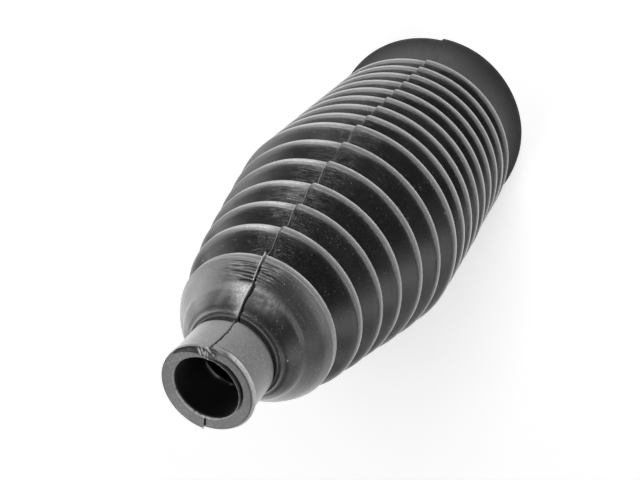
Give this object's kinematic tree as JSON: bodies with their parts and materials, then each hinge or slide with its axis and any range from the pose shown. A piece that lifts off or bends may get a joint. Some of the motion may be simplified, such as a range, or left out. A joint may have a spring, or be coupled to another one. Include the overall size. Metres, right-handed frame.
{
  "type": "rubber bellows boot",
  "caption": "Rubber bellows boot: small cuff on a swelling cone, flat-topped folds that widen then run even, and a large cuff with a flared mouth, hollow right through.",
  "frame": {"origin": "centre of the mouth's end face, where the boot stands", "axes": "+Z along the boot's axis, from the large mouth to the small cuff; the mould's parting line lies in the YZ plane"},
  "size_m": [0.06, 0.0606, 0.1451],
  "materials": {
    "rubber": "satin"
  },
  "bodies": {
    "root": {"bellows_boot": "rubber"}
  },
  "joints": []
}
